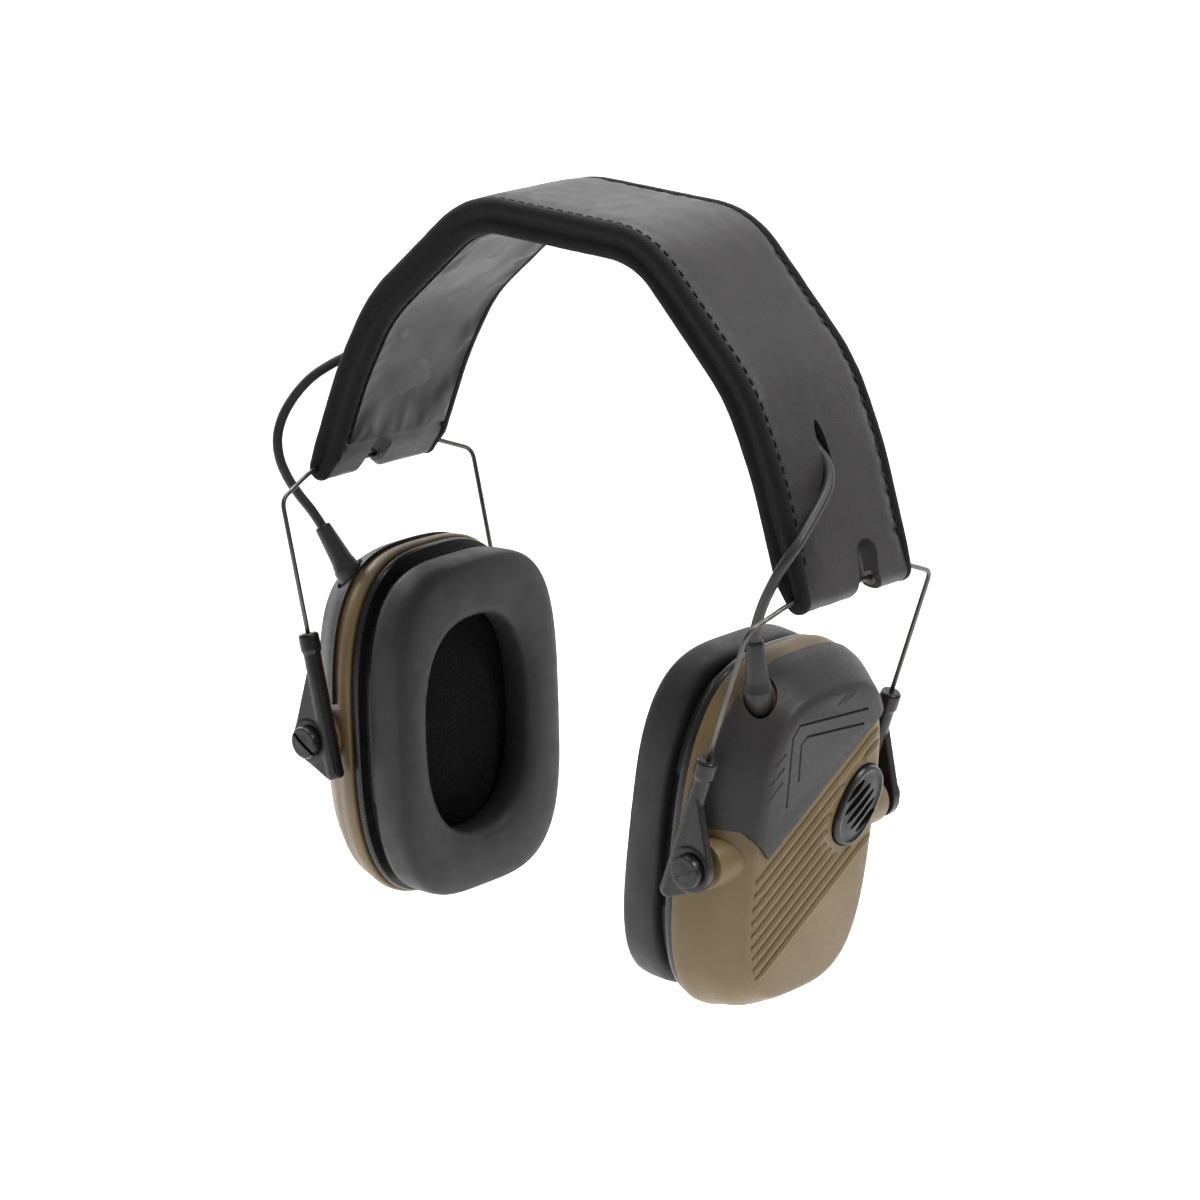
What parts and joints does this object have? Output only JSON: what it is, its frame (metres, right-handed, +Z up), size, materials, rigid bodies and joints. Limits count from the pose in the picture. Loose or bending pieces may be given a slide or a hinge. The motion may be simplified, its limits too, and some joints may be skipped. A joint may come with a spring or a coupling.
{
  "type": "earmuff hearing protector",
  "caption": "Electronic earmuff hearing protector with folding padded headband, wire bails, height-sliding arms, tilting cups and soft ear cushions",
  "frame": {"origin": "middle of the flat underside of the crown pad, where the wearer's head meets the band", "axes": "X from the left cup to the right cup, Y from front to back, Z up"},
  "size_m": [0.1981, 0.092, 0.2211],
  "materials": {
    "band_leather": "soft matte grain, charcoal",
    "band_foam": "open foam, unseen inside the band",
    "band_satin": "satin lining, slightly glossy",
    "band_trim": "woven edge binding",
    "steel": "bright drawn wire and strip",
    "cable_rubber": "matte flexible jacket",
    "black_plastic": "fine moulded texture",
    "olive_plastic": "fine moulded texture, olive tan",
    "soft_rubber": "matte overmoulded rubber",
    "cushion_skin": "smooth soft PU skin",
    "ear_foam": "black acoustic foam",
    "driver_metal": "stamped basket",
    "board_green": "solder mask",
    "cell_wrap": "printed sleeve without lettering"
  },
  "bodies": {
    "headband": {"band_cover": "band_leather", "band_core": "band_foam", "band_lining": "band_satin", "band_binding": "band_trim", "spring_strip": "steel", "end_loop_right": "band_leather", "end_loop_left": "band_leather", "signal_cable": "cable_rubber"},
    "bail_right_body": {"bail_right": "steel"},
    "bail_left_body": {"bail_left": "steel"},
    "arms_right": {"arm_front_right": "black_plastic", "arm_back_right": "black_plastic"},
    "arms_left": {"arm_front_left": "black_plastic", "arm_back_left": "black_plastic"},
    "cup_right": {"cup_shell_right": "olive_plastic", "rubber_cover_right": "soft_rubber", "pivot_pins_right": "black_plastic", "mic_grille_right": "black_plastic", "mic_capsule_right": "driver_metal", "cable_relief_right": "cable_rubber", "base_plate_right": "black_plastic", "cushion_right": "cushion_skin", "foam_liner_right": "ear_foam", "baffle_right": "black_plastic", "speaker_right": "driver_metal", "circuit_board": "board_green"},
    "cup_left": {"cup_shell_left": "olive_plastic", "rubber_cover_left": "soft_rubber", "pivot_pins_left": "black_plastic", "mic_grille_left": "black_plastic", "mic_capsule_left": "driver_metal", "cable_relief_left": "cable_rubber", "base_plate_left": "black_plastic", "cushion_left": "cushion_skin", "foam_liner_left": "ear_foam", "baffle_left": "black_plastic", "speaker_left": "driver_metal", "battery_tray": "black_plastic", "batteries": "cell_wrap", "volume_control": "driver_metal", "door_pin": "steel"},
    "knob": {"volume_knob": "black_plastic"},
    "door": {"battery_door": "olive_plastic"}
  },
  "joints": [
    {"name": "fold_right", "type": "hinge", "parent": "headband", "child": "bail_right_body", "pos_m": [0.09, 0, -0.0825], "axis": [0, 1, 0], "range_deg": [0, 80], "deforming": ["signal_cable"]},
    {"name": "fold_left", "type": "hinge", "parent": "headband", "child": "bail_left_body", "pos_m": [-0.09, 0, -0.0825], "axis": [0, 1, 0], "range_deg": [-80, 0], "deforming": ["signal_cable"]},
    {"name": "height_right", "type": "slide", "parent": "bail_right_body", "child": "arms_right", "axis": [-0.279, 0, -0.9603], "range_m": [-0.01, 0.02]},
    {"name": "height_left", "type": "slide", "parent": "bail_left_body", "child": "arms_left", "axis": [0.279, 0, -0.9603], "range_m": [-0.01, 0.02]},
    {"name": "tilt_right", "type": "hinge", "parent": "arms_right", "child": "cup_right", "pos_m": [0.07317, 0, -0.15882], "axis": [0, 1, 0], "range_deg": [-10, 10]},
    {"name": "tilt_left", "type": "hinge", "parent": "arms_left", "child": "cup_left", "pos_m": [-0.07317, 0, -0.15882], "axis": [0, 1, 0], "range_deg": [-10, 10]},
    {"name": "volume_turn", "type": "hinge", "parent": "cup_left", "child": "knob", "pos_m": [-0.07066, 0, -0.1857], "axis": [0, 1, 0], "range_deg": [0, 270]},
    {"name": "battery_door_open", "type": "hinge", "parent": "cup_left", "child": "door", "pos_m": [-0.0803, 0, -0.1983], "axis": [0, -1, 0], "range_deg": [0, 100]}
  ]
}
